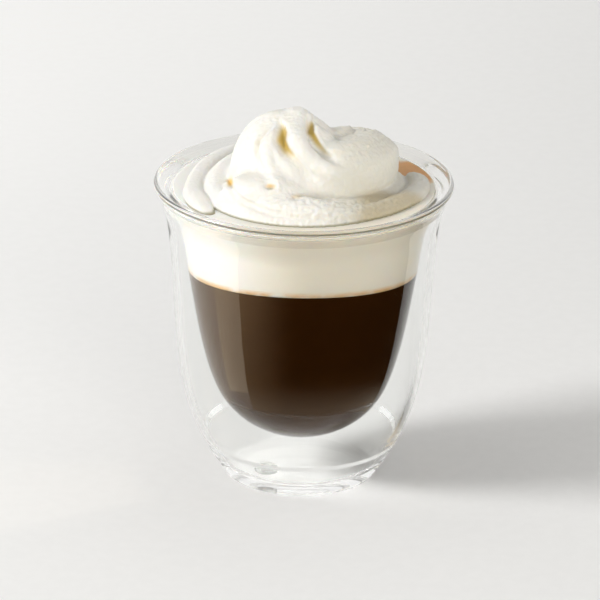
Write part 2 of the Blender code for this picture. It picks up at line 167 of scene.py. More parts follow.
# Whipped cream: the ropes below the top, as direction in degrees from +X,
# then radius, height and thickness in mm
MAIN_COIL = (
    (-95, 7.6, 76.8, 6.6),
    (-75, 9.0, 77.2, 7.4),
    (-45, 11.0, 77.6, 7.9),
    (-20, 13.2, 77.8, 7.9),
    (3, 14.8, 77.8, 7.8),
    (16, 15.0, 76.7, 7.5),
    (32, 15.3, 76.2, 7.2),
    (52, 15.7, 75.4, 6.6),
    (90, 16.5, 73.9, 5.3),
    (135, 17.8, 72.6, 4.3),
    (160, 18.8, 72.0, 4.0),
    (180, 19.6, 71.4, 3.8),
    (202, 21.2, 71.3, 3.6),
    (225, 23.0, 71.2, 3.6),
    (250, 24.0, 71.0, 3.4),
    (275, 24.6, 70.7, 3.0),
    (300, 24.9, 70.5, 2.6),
    (318, 25.2, 70.5, 2.1),
    (325, 25.3, 70.6, 1.2),
)
UPPER_COIL = (
    (190, 15.5, 72.6, 2.2),
    (205, 17.8, 73.4, 3.0),
    (228, 19.8, 73.3, 3.7),
    (246, 21.0, 72.8, 4.4),
    (265, 21.5, 72.6, 4.6),
    (290, 22.8, 71.8, 3.8),
    (311, 24.0, 70.9, 3.3),
    (332, 24.8, 70.8, 3.3),
    (350, 26.2, 70.7, 3.2),
    (368, 27.0, 70.6, 2.9),
    (376, 26.8, 70.4, 2.5),
    (382, 26.6, 70.4, 1.2),
)
OUTER_COIL = (
    (82, 21.0, 71.6, 1.2),
    (100, 22.6, 71.9, 2.2),
    (118, 24.0, 72.4, 2.6),
    (137, 24.8, 72.3, 2.7),
    (160, 24.8, 71.8, 2.6),
    (180, 25.3, 71.2, 2.5),
    (195, 26.5, 71.1, 2.7),
    (206, 27.2, 71.2, 3.0),
    (214, 27.9, 70.9, 2.8),
    (221, 28.5, 70.4, 2.0),
    (226, 28.8, 70.0, 1.0),
)
HEAP = ((0.0, 75.0 * MM), (19 * MM, 74.0 * MM), (22.8 * MM, 73.1 * MM), (24.8 * MM, 71.6 * MM))
ROPE_STEP = 2  # degrees
ROPE_RIB_DEPTH = 0.07
SIDES_FOR_EACH_RIB = 6
HEAP_DEPTH = 1.6 * MM  # how far the ropes and the heap are sunk before they are cut off level
HEAP_STEPS = 60
SWIRL_SOFTENING = 30
SKIN_SOFTENING = 2
SKIN_ROUGHNESS = 0.09
CRUMB_ROUGHNESS = 0.17
STREAK_ROUGHNESS = 0.10
TORN_ROUGHNESS = 0.6
CREAM_SUNK = 0.15 * MM  # how far the whipped cream reaches into the soft cream
CREAM_CLEARANCE = 0.05 * MM
BASE_VOXEL = 0.5 * MM
CREAM_VOXEL = 0.30 * MM

# Light
KEY_TURN = 12.5  # degrees in front of the glass's left
KEY_ELEVATION = 36
KEY_DISTANCE = 1.35
KEY_SIZE = 0.34
KEY_POWER = 11.5
WORLD_HORIZON = 1.0
WORLD_OVERHEAD = 0.35
WORLD_FRONT = 0.6
FILL_PLACE = (0.55, -1.25, 0.30)
FILL_SIZE = (0.9, 0.7)
FILL_POWER = 11.5
CARD_EDGE = -150.5  # degrees from +X, where the dark card ends and the bright one starts
CARD_SWEEP = 175
BRIGHT_SWEEP = 31
CARD_REACH = 0.24
CARD_FADE = 24 * MM  # how far from its inner edge the dark card has reached its full darkness
CARD_EDGE_GLOW = 0.6
DARK_CARD_INNER = 26 * MM
BRIGHT_CARD_INNER = 40 * MM
BRIGHT_CARD_GLOW = 1.45
SHADOW_PASS = 0.985  # share of a lamp's light that each face of the glass lets through
BACK_GLOW = 0.15  # painted light: how much brighter the floor glows at the back on the left

# Camera
CAMERA_ELEVATION = 22.19  # degrees
CAMERA_ROLL = 0.78
CAMERA_DISTANCE = 1.0
CAMERA_TARGET = Vector((0, 0, 36 * MM))
FRAME_PIXELS = 600
FOCAL_PIXELS = 4229
CENTRE_PIXEL = (301.9, 327.5)
SENSOR_WIDTH = 36


def between(low, high, value):
    """0 below low, 1 above high and a smooth rise between them."""
    share = min(1.0, max(0.0, (value - low) / (high - low)))
    return share * share * (3 - 2 * share)


def bezier(start, start_handle, end_handle, end, count):
    """Points of a cubic curve from start to end, both included."""
    points = []
    for i in range(count + 1):
        t = i / count
        s = 1 - t
        weights = (s**3, 3 * s * s * t, 3 * s * t * t, t**3)
        knots = (start, start_handle, end_handle, end)
        points.append(tuple(sum(w * k[axis] for w, k in zip(weights, knots)) for axis in (0, 1)))
    return points


def arc(centre, radius, start_angle, end_angle, count):
    """Points of a round arc with the angles in degrees."""
    points = []
    for i in range(count + 1):
        a = math.radians(start_angle + (end_angle - start_angle) * i / count)
        points.append((centre[0] + radius * math.cos(a), centre[1] + radius * math.sin(a)))
    return points


def offset(points, distance):
    """The outline moved sideways by distance, to its left when distance is positive."""
    moved = []
    for i, point in enumerate(points):
        before = Vector(points[max(i - 1, 0)])
        after = Vector(points[min(i + 1, len(points) - 1)])
        along = (after - before).normalized()
        moved.append((point[0] - along.y * distance, point[1] + along.x * distance))
    return moved


def joined(*outlines):
    """One outline from several that meet end to end."""
    points = list(outlines[0])
    for outline in outlines[1:]:
        points += outline[1:]
    return points


def bowl_outside():
    """Outer face of the inner wall, from the bottom of the bowl up."""
    x, z = BOWL_SHOULDER
    lower = bezier((0, BOWL_BOTTOM), (8.5 * MM, BOWL_BOTTOM), (x - 3.6 * MM, z - 8 * MM), (x, z), 26)
    top_x, top_z = BOWL_TOP
    upper = bezier((x, z), (x + 4.05 * MM, z + 9 * MM), (top_x - 2.55 * MM, top_z - 15 * MM), BOWL_TOP, 20)
    return joined(lower, upper)


def lip_edge():
    """The round outer edge of the lip, over its top from the shoulder to the outer wall."""
    return arc(LIP_CENTRE, LIP_RADIUS, LIP_INNER_ANGLE, LIP_OUTER_ANGLE, 18)


def bowl_inside():
    """Inner face of the bowl from the middle of its floor up to the lip."""
    inside = []
    for x, z in offset(bowl_outside(), WALL):
        share = max(0.0, 1 - (z - BOWL_BOTTOM) / (9 * MM))
        inside.append((max(x, 0.0), z + (BOWL_FLOOR_THICKNESS - WALL) * share**2))
    inside[0] = (0.0, BOWL_BOTTOM + BOWL_FLOOR_THICKNESS)
    x, z = inside[-1]
    lip_x, lip_z = LIP_INSIDE
    neck = bezier((x, z), (x + 0.7 * MM, z + 3.5 * MM), (lip_x - 0.6 * MM, lip_z - 3 * MM), LIP_INSIDE, 10)
    end_x, end_z = lip_edge()[0]
    a = math.radians(LIP_INNER_ANGLE)
    before = (end_x - 2 * MM * math.sin(a), end_z + 2 * MM * math.cos(a))
    shoulder = bezier(LIP_INSIDE, (lip_x + 0.25 * MM, lip_z + 1.3 * MM), before, (end_x, end_z), 12)
    return joined(inside, neck, shoulder)


def wall_outside():
    """Outer face of the outer wall, from the foot up to the lip."""
    body = bezier((FOOT_RADIUS, 0.7 * MM), (31.6 * MM, 20.2 * MM), (29.0 * MM, 32.0 * MM), WALL_TOP, 40)
    x, z = WALL_TOP
    end_x, end_z = lip_edge()[-1]
    handles = ((x + 0.4 * MM, z + 5 * MM), (end_x - 1.2 * MM, end_z - 1.4 * MM))
    flare = bezier((x, z), *handles, (end_x, end_z), 10)
    return joined(body, flare)


def radius_at(outline, height):
    """Radius of a rising outline at one height."""
    for low, high in zip(outline, outline[1:]):
        if low[1] <= height <= high[1] and high[1] > low[1]:
            share = (height - low[1]) / (high[1] - low[1])
            return low[0] + (high[0] - low[0]) * share
    return outline[-1][0]


def deselect():
    """Leaves nothing selected."""
    bpy.ops.object.select_all(action="DESELECT")


def turned(name, outline, steps=SPIN_STEPS, inside_out=False):
    """A closed body: one point is extruded along the outline and spun about the Z axis."""
    deselect()
    bpy.ops.mesh.primitive_plane_add(size=MM, location=(0, 0, 0))
    body = bpy.context.object
    body.name = name
    bpy.ops.object.mode_set(mode="EDIT")
    bpy.ops.mesh.select_all(action="SELECT")
    bpy.ops.mesh.merge(type="CENTER")
    bpy.ops.transform.translate(value=(outline[0][0], 0, outline[0][1]))
    for start, end in zip(outline, outline[1:]):
        step = (end[0] - start[0], 0, end[1] - start[1])
        bpy.ops.mesh.extrude_region_move(TRANSFORM_OT_translate={"value": step})
    bpy.ops.mesh.select_all(action="SELECT")
    bpy.ops.mesh.spin(steps=steps, angle=math.tau, center=(0, 0, 0), axis=(0, 0, 1))
    bpy.ops.mesh.select_all(action="SELECT")
    bpy.ops.mesh.remove_doubles(threshold=0.005 * MM)
    bpy.ops.mesh.normals_make_consistent(inside=False)
    if inside_out:
        bpy.ops.mesh.flip_normals()
    bpy.ops.object.mode_set(mode="OBJECT")
    bpy.ops.object.shade_smooth()
    return body


def join(pieces, name):
    """One object from several."""
    deselect()
    for piece in pieces:
        piece.select_set(True)
    bpy.context.view_layer.objects.active = pieces[0]
    bpy.ops.object.join()
    whole = bpy.context.object
    whole.name = name
    whole.data.name = name
    return whole


def apply(piece, modifier):
    """Applies one modifier of a piece."""
    deselect()
    piece.select_set(True)
    bpy.context.view_layer.objects.active = piece
    bpy.ops.object.modifier_apply(modifier=modifier.name)


def gap_outline():
    """The air gap between the walls, from the middle of its ceiling round to the middle of its floor."""
    x, z = BOWL_TOP
    below_lip = offset(bowl_inside(), -LIP_WALL)
    over = [p for p in below_lip if p[1] > z + 5 * MM and p[0] < GAP_TIP[0] - GAP_TIP_RADIUS]
    over_x, over_z = over[0]
    neck = bezier(BOWL_TOP, (x + 0.5 * MM, z + 2.5 * MM), (over_x - 0.3 * MM, over_z - 1.5 * MM), over[0], 8)
    tip = arc(GAP_TIP, GAP_TIP_RADIUS, 120, -40, 8)
    side = [p for p in offset(wall_outside(), WALL) if 5 * MM < p[1] < WALL_TOP[1]][::-1]
    x, z = side[0]
    tip_x, tip_z = tip[-1]
    down = bezier((tip_x, tip_z), (tip_x - 0.4 * MM, tip_z - 2 * MM), (x + 0.3 * MM, z + 4 * MM), (x, z), 12)
    x, z = side[-1]
    edge = (GAP_FLOOR_RADIUS, GAP_FLOOR)
    corner = bezier((x, z), (x - 1.3 * MM, z - 1.8 * MM), (edge[0] + 2.2 * MM, GAP_FLOOR), edge, 14)
    floor = [(GAP_FLOOR_RADIUS * 0.6, GAP_FLOOR), (0.0, GAP_FLOOR)]
    return joined(bowl_outside(), neck, over) + tip + joined(down, side, corner) + floor


def glass_outline():
    """The glass from the middle of the bowl over the lip and down to the middle of its underside."""
    wall = wall_outside()[::-1]
    foot = arc(FOOT_CENTRE, FOOT_BEND, FOOT_ANGLE, -90, 10)
    ring = (FOOT_INNER_RADIUS, 0.0)
    handles = ((FOOT_INNER_RADIUS - 2 * MM, 0.0), (BASE_FLAT + 3 * MM, BASE_HOLLOW))
    under = bezier(ring, *handles, (BASE_FLAT, BASE_HOLLOW), 12)
    return joined(bowl_inside(), lip_edge(), wall, foot) + under + [(0.0, BASE_HOLLOW)]


def glass_finish_at(x, y, z):
    """Which finish a point of the glass has: 0 on the bowl, 1 on the outer wall and base, 2 on the lip."""
    if z > LIP_START:
        return 2
    parting = radius_at(bowl_outside() + [GAP_TIP], z) + WALL_PARTING
    return 1 if z < BOWL_BOTTOM - WALL_PARTING or math.hypot(x, y) > parting else 0


def make_glass():
    """The double-walled glass with its sealed air gap."""
    outer = turned("double_walled_glass", glass_outline())
    gap = turned("air_gap", gap_outline(), inside_out=True)
    glass = join([outer, gap], "double_walled_glass")
    glass.data.materials.clear()
    finishes = (clear_glass("clear_glass", BOWL_IOR), clear_glass("outer_wall_glass", WALL_IOR), lip_glass())
    for finish in finishes:
        glass.data.materials.append(finish.material)
    for face in glass.data.polygons:
        face.material_index = glass_finish_at(*face.center)
    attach(glass, "root")
    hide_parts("glass")
    return glass


def make_vent_drop():
    """The drop of glass that was melted over the vent in the base."""
    centre = ((seal_low[0] + seal_high[0]) / 2, (seal_low[1] + seal_high[1]) / 2)
    floor = GAP_FLOOR - 0.1 * MM
    height = seal_high[2] - floor
    width = (seal_high[0] - seal_low[0]) / 2
    deselect()
    bpy.ops.mesh.primitive_uv_sphere_add(segments=64, ring_count=32, radius=1.0)
    drop = bpy.context.object
    drop.name = "vent_drop"
    for vertex in drop.data.vertices:
        x, y, z = vertex.co
        round_off = math.sqrt(max(0.0, 1 - (1 - abs(z)) ** 2)) if z < 0 else 1.0
        uneven = 1 + 0.10 * noise.noise(Vector((x * 1.3, y * 1.3, z + 7)))
        rise = height * (z * uneven) if z > 0 else 0.15 * MM * z * round_off
        dimple = 0.35 * MM * math.exp(-((x - 0.15) ** 2 + (y + 0.1) ** 2) / 0.05) if z > 0 else 0.0
        vertex.co = (centre[0] + width * x * uneven, centre[1] + width * y * uneven, floor + rise - dimple)
    bpy.ops.object.shade_smooth()
    drop.data.materials.clear()
    drop.data.materials.append(melted_finish())
    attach(drop, "root")
    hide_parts("vent_seal")
    return drop


def swell(x, y):
    """How much higher than its middle the face between coffee and cream stands."""
    across = BOWL_TOP[0]
    return LEVEL_SWELL * ((y / across) ** 2 - (x / across) ** 2)


def swell_edge(body, level, reach):
    """Bends the flat end of a filling to the uneven face, with its edge kept on the glass."""
    inside = bowl_inside()
    for vertex in body.data.vertices:
        x, y, z = vertex.co
        share = between(0.0, 1.0, 1 - abs(z - level) / SWELL_FADE)
        if share == 0:
            continue
        radius = math.hypot(x, y)
        side = radius >= radius_at(inside, z) + reach - 0.02 * MM
        new_z = z + swell(x, y) * share
        if side:
            new_radius = radius_at(inside, new_z) + reach
            x *= new_radius / radius
            y *= new_radius / radius
        vertex.co = (x, y, new_z)


def filling_side(bottom, top, reach, steps):
    """The inside of the bowl between two heights, moved into the wall by reach, from the bottom up."""
    inside = bowl_inside()
    side = []
    for i in range(steps + 1):
        height = bottom + (top - bottom) * i / steps
        side.append((radius_at(inside, height) + reach, height))
    return side


def make_espresso():
    """The coffee, up to its uneven upper face."""
    floor = BOWL_BOTTOM + BOWL_FLOOR_THICKNESS - WALL_REACH
    top = ESPRESSO_LEVEL + 0.05 * MM
    inside = [p for p in offset(bowl_inside(), -WALL_REACH) if floor + 0.05 * MM < p[1] < top - 10 * MM]
    side = filling_side(top - 9.5 * MM, top, WALL_REACH, 24)
    surface = [(side[-1][0] * share, top) for share in (0.97, 0.9, 0.75, 0.6, 0.45, 0.3, 0.15, 0.0)]
    espresso = turned("coffee", [(0.0, floor)] + inside + side + surface)
    swell_edge(espresso, top, WALL_REACH)
    espresso.data.materials.clear()
    espresso.data.materials.append(coffee_finish())
    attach(espresso, "root")
    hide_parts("espresso")
    return espresso


def make_layer():
    """The soft cream between the coffee and the swirl."""
    side = filling_side(ESPRESSO_LEVEL, LAYER_LEVEL, LAYER_REACH, 60)
    under = [(side[0][0] * share, ESPRESSO_LEVEL) for share in (0.0, 0.15, 0.3, 0.45, 0.6, 0.75, 0.9, 0.97)]
    over = [(side[-1][0] * share, LAYER_LEVEL) for share in (0.99, 0.95, 0.9, 0.8, 0.7, 0.5, 0.25, 0.0)]
    layer = turned("soft_cream", under + side + over)
    swell_edge(layer, ESPRESSO_LEVEL, LAYER_REACH)
    layer.data.materials.clear()
    layer.data.materials.append(layer_finish())
    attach(layer, "root")
    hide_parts("cream_layer")
    return layer


def back_groove(x, y, z):
    """How deep the back of the swirl's top is pressed in at one point."""
    front = math.degrees(math.atan2(x - DOME_CENTRE[0], DOME_CENTRE[1] - y))
    way = math.hypot(x - DOME_CENTRE[0], y - DOME_CENTRE[1]) + DROP_SHARE * (DOME_TOP - z)
    turned_back = front - TWIST * max(0.0, way - TWIST_START) ** 2
    deepest = 0.0
    for middle, left_width, right_width, depth in BACK_GROOVES:
        away = (turned_back - middle + 180) % 360 - 180
        share = abs(away) / (left_width if away < 0 else right_width)
        deepest = max(deepest, depth * max(0.0, 1 - share**1.3))
    fade_in = min(1.0, max(0.0, (way - BACK_GROOVE_START) / (BACK_GROOVE_FULL - BACK_GROOVE_START)))
    fade_out = min(1.0, max(0.0, (BACK_GROOVE_END - way) / (BACK_GROOVE_END - BACK_GROOVE_FADE)))
    return deepest * fade_in * fade_out**1.5 * between(-4 * MM, 1 * MM, y)


def strongest(lines, across, up, fullness):
    """The largest value at one point of the view that lines give, which fade to their left and right."""
    most = 0.0
    for left_width, right_width, line in lines:
        for start, end in zip(line, line[1:]):
            run = (end[0] - start[0], end[1] - start[1])
            way = (across - start[0], up - start[1])
            t = min(1.0, max(0.0, (way[0] * run[0] + way[1] * run[1]) / (run[0] ** 2 + run[1] ** 2)))
            away = math.hypot(way[0] - run[0] * t, way[1] - run[1] * t)
            to_left = run[0] * way[1] - run[1] * way[0] < 0
            share = away / (left_width if to_left else right_width)
            if share < 1:
                most = max(most, (start[2] + (end[2] - start[2]) * t) * (1 - share**fullness))
    return most


def seen_from_front(x, y, z):
    """A point as the picture shows it: across, up and how much it faces the front."""
    return x / MM, (z - VIEW_LEVEL + VIEW_DROP * y) / MM, between(0.0, 5 * MM, -y)


def pocket_depth(across, up):
    """How deep the small dents are at one point of the view, in mm."""
    deepest = 0.0
    for middle, height, half_width, half_height, depth in POCKETS:
        share = math.hypot((across - middle) / half_width, (up - height) / half_height)
        if share < 1:
            deepest = max(deepest, depth * (1 - share * share) ** 2)
    return deepest


def front_ridge(x, y, z):
    """How far the front of the swirl's top stands out at one point."""
    across, up, front = seen_from_front(x, y, z)
    return strongest(FRONT_RIDGES, across, up, 2.0) * MM * front


def front_groove(x, y, z):
    """How deep the front of the swirl's top is pressed in at one point."""
    across, up, front = seen_from_front(x, y, z)
    return strongest(FRONT_GROOVES, across, up, GROOVE_FULLNESS) * MM * front


def low_groove(x, y, z):
    """How deep the front coils are pressed in at one point, with the small dents."""
    across, up, front = seen_from_front(x, y, z)
    return max(strongest(LOW_GROOVES, across, up, 1.5), pocket_depth(across, up)) * MM * front


def dome_point(direction, polar):
    """A point of the swirl's top. polar is 0 at the peak and a half turn at the underside."""
    height = DOME_TOP - DOME_FOOT
    if polar <= math.pi / 2:
        share = math.sin(polar) ** (2 / DOME_FULLNESS)
        rise = height * max(0.0, math.cos(polar)) ** (2 / DOME_FULLNESS)
    else:
        share = math.sin(polar)
        rise = 2 * MM * math.cos(polar)
    reach = share * DOME_RADII[0] * DOME_RADII[1] / math.hypot(
        DOME_RADII[1] * math.cos(direction), DOME_RADII[0] * math.sin(direction)
    )
    x = DOME_CENTRE[0] + reach * math.cos(direction)
    y = DOME_CENTRE[1] + reach * math.sin(direction)
    return x, y, DOME_FOOT + rise


def make_dome():
    """The swirl's top before its grooves are pressed in."""
    deselect()
    bpy.ops.mesh.primitive_uv_sphere_add(segments=120, ring_count=60, radius=1.0)
    dome = bpy.context.object
    for vertex in dome.data.vertices:
        polar = math.acos(max(-1.0, min(1.0, vertex.co.z)))
        vertex.co = dome_point(math.atan2(vertex.co.y, vertex.co.x), polar)
    return dome


def make_bridge(centre, radii):
    """Cream that joins two parts of the swirl."""
    deselect()
    bpy.ops.mesh.primitive_uv_sphere_add(segments=60, ring_count=30, radius=1.0, location=centre)
    bridge = bpy.context.object
    bridge.scale = radii
    bpy.ops.object.transform_apply(location=True, rotation=True, scale=True)
    return bridge


def grow_together(piece, voxel, softening):
    """Makes one skin over the parts of a piece and softens it."""
    grow = piece.modifiers.new("Grow", "REMESH")
    grow.mode = "VOXEL"
    grow.voxel_size = voxel
    apply(piece, grow)
    soften = piece.modifiers.new("Soften", "SMOOTH")
    soften.factor = 0.5
    soften.iterations = softening
    apply(piece, soften)


def press_grooves(swirl):
    """Presses the grooves of the nozzle into the swirl and raises its peaks."""
    normals = [vertex.normal.copy() for vertex in swirl.data.vertices]
    for vertex, normal in zip(swirl.data.vertices, normals):
        x, y, z = vertex.co
        depth = max(front_groove(x, y, z), back_groove(x, y, z))
        vertex.co += normal * (front_ridge(x, y, z) - depth)
        for peak_x, peak_y, peak_height, width in PEAKS:
            away = math.hypot(x - peak_x, y - peak_y) / width
            vertex.co.z += peak_height * math.exp(-away * away) * between(80 * MM, 88 * MM, z)


def between_rows(rows, direction):
    """Radius, height and thickness of a rope at one direction, on a smooth curve through its rows."""
    last = len(rows) - 1
    i = 0
    while i < last - 1 and direction > rows[i + 1][0]:
        i += 1
    before, low, high, after = rows[max(i - 1, 0)], rows[i], rows[i + 1], rows[min(i + 2, last)]
    span = high[0] - low[0]
    t = min(1.0, max(0.0, (direction - low[0]) / span))
    values = []
    for k in (1, 2, 3):
        low_slope = (high[k] - before[k]) / (high[0] - before[0]) * span
        high_slope = (after[k] - low[k]) / (after[0] - low[0]) * span
        rise = (3 - 2 * t) * t * t
        values.append(
            low[k] + (high[k] - low[k]) * rise + low_slope * t * (1 - t) ** 2 - high_slope * (1 - t) * t * t
        )
    return values


def make_rope(name, rows_in_mm, ribs):
    """A ribbed rope of cream along its rows: a disc is extruded ring by ring round the axis."""
    rows = [(direction, *(size * MM for size in sizes)) for direction, *sizes in rows_in_mm]
    sides = SIDES_FOR_EACH_RIB * ribs
    first, last = rows[0][0], rows[-1][0]
    count = round((last - first) / ROPE_STEP)
    deselect()
    bpy.ops.mesh.primitive_circle_add(vertices=sides, radius=1.0, fill_type="NGON")
    rope = bpy.context.object
    rope.name = name
    bpy.ops.object.mode_set(mode="EDIT")
    bpy.ops.mesh.select_all(action="SELECT")
    for i in range(count):
        bpy.ops.mesh.extrude_region_move(TRANSFORM_OT_translate={"value": (0, 0, 1)})
    bpy.ops.object.mode_set(mode="OBJECT")
    for vertex in rope.data.vertices:
        direction = first + (last - first) * round(vertex.co.z) / count
        radius, height, thickness = between_rows(rows, direction)
        turn = math.radians(direction)
        outward = Vector((math.cos(turn), math.sin(turn), 0))
        a = math.atan2(vertex.co.y, vertex.co.x)
        size = thickness * (1 - ROPE_RIB_DEPTH * (0.5 + 0.5 * math.cos(a * ribs)))
        vertex.co = outward * (radius + size * math.cos(a)) + Vector((0, 0, height + size * math.sin(a)))
    bpy.ops.object.mode_set(mode="EDIT")
    bpy.ops.mesh.select_all(action="SELECT")
    bpy.ops.mesh.normals_make_consistent(inside=False)
    bpy.ops.object.mode_set(mode="OBJECT")
    return rope


def crumble(x, y, z):
    """How far the torn and crumbly skin of the cream stands out at one point."""
    place = Vector((x, y, z)) / MM
    fine = noise.noise(place * 1.1) + 0.5 * noise.noise(place * 2.3)
    radius = math.hypot(x, y)
    low_front = between(6 * MM, 14 * MM, -y) * between(17 * MM, 21 * MM, radius)
    low_front *= between(-13 * MM, -6 * MM, x)
    streak = noise.noise(Vector((place.x * 1.9, place.y * 1.9, place.z * 0.5))) * between(2 * MM, 8 * MM, x)
    right_shoulder = between(8 * MM, 13 * MM, x) * between(81.5 * MM, 84 * MM, z)
    peak = 0.5 * between(87 * MM, 89.5 * MM, z)
    edge = max(0.0, noise.noise(place * 1.5 + Vector((9, 3, 5))) - 0.2) * max(right_shoulder, peak)
    skin = (SKIN_ROUGHNESS + CRUMB_ROUGHNESS * low_front) * fine * MM
    return skin + STREAK_ROUGHNESS * streak * MM + TORN_ROUGHNESS * MM * edge


def roughen(cream):
    """Presses in the groove and dents of the front coils, and gives the cream its crumbly skin."""
    normals = [vertex.normal.copy() for vertex in cream.data.vertices]
    for vertex, normal in zip(cream.data.vertices, normals):
        vertex.co += normal * (crumble(*vertex.co) - low_groove(*vertex.co))


def cut_level(cream):
    """Cuts off what lies deeper than a little way into the soft cream."""
    deselect()
    cream.select_set(True)
    bpy.context.view_layer.objects.active = cream
    bpy.ops.object.mode_set(mode="EDIT")
    bpy.ops.mesh.select_all(action="SELECT")
    bpy.ops.mesh.bisect(
        plane_co=(0, 0, LAYER_LEVEL - CREAM_SUNK), plane_no=(0, 0, 1), use_fill=True, clear_inner=True
    )
    bpy.ops.object.mode_set(mode="OBJECT")


def keep_in_bowl(cream):
    """Moves what would cross the glass back to its inside, and keeps the peak at its height."""
    limit = offset(bowl_inside(), CREAM_CLEARANCE)
    for vertex in cream.data.vertices:
        x, y, z = vertex.co
        radius = math.hypot(x, y)
        most = radius_at(limit, min(z, GLASS_HEIGHT - 2 * MM))
        if radius > most:
            vertex.co.x *= most / radius
            vertex.co.y *= most / radius
        vertex.co.z = min(vertex.co.z, cream_high[2])


def mark_folds(cream):
    """Keeps on each point how deep in a groove or in a dent it lies, for the painted shade in them."""
    folds = cream.data.attributes.new("fold", "FLOAT", "POINT")
    pockets = cream.data.attributes.new("pocket", "FLOAT", "POINT")
    for i, vertex in enumerate(cream.data.vertices):
        across, up, front = seen_from_front(*vertex.co)
        groove = strongest(FRONT_GROOVES, across, up, GROOVE_FULLNESS)
        folds.data[i].value = min(1.0, groove / GROOVE_SHADE_DEPTH) * front
        pockets.data[i].value = pocket_depth(across, up) / 2 * front


def make_cream():
    """The whipped cream: a grooved swirl, coils and heap grown together, cut off level and roughened."""
    under = LAYER_LEVEL - HEAP_DEPTH
    bridges = [make_bridge(centre, radii) for centre, radii in BRIDGES]
    swirl = join([make_dome(), make_rope("main_coil", MAIN_COIL, 7)] + bridges, "swirl")
    grow_together(swirl, BASE_VOXEL, SWIRL_SOFTENING)
    press_grooves(swirl)
    heap = turned("heap", list(HEAP) + [(HEAP[-1][0], under), (0.0, under)], HEAP_STEPS)
    upper = make_rope("upper_coil", UPPER_COIL, 5)
    outer = make_rope("outer_coil", OUTER_COIL, 4)
    cream = join([swirl, upper, outer, heap], "piped_cream")
    grow_together(cream, CREAM_VOXEL, SKIN_SOFTENING)
    roughen(cream)
    cut_level(cream)
    keep_in_bowl(cream)
    mark_folds(cream)
    bpy.ops.object.shade_smooth()
    cream.data.materials.clear()
    cream.data.materials.append(cream_finish())
    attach(cream, "root")
    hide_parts("whipped_cream")
    return cream


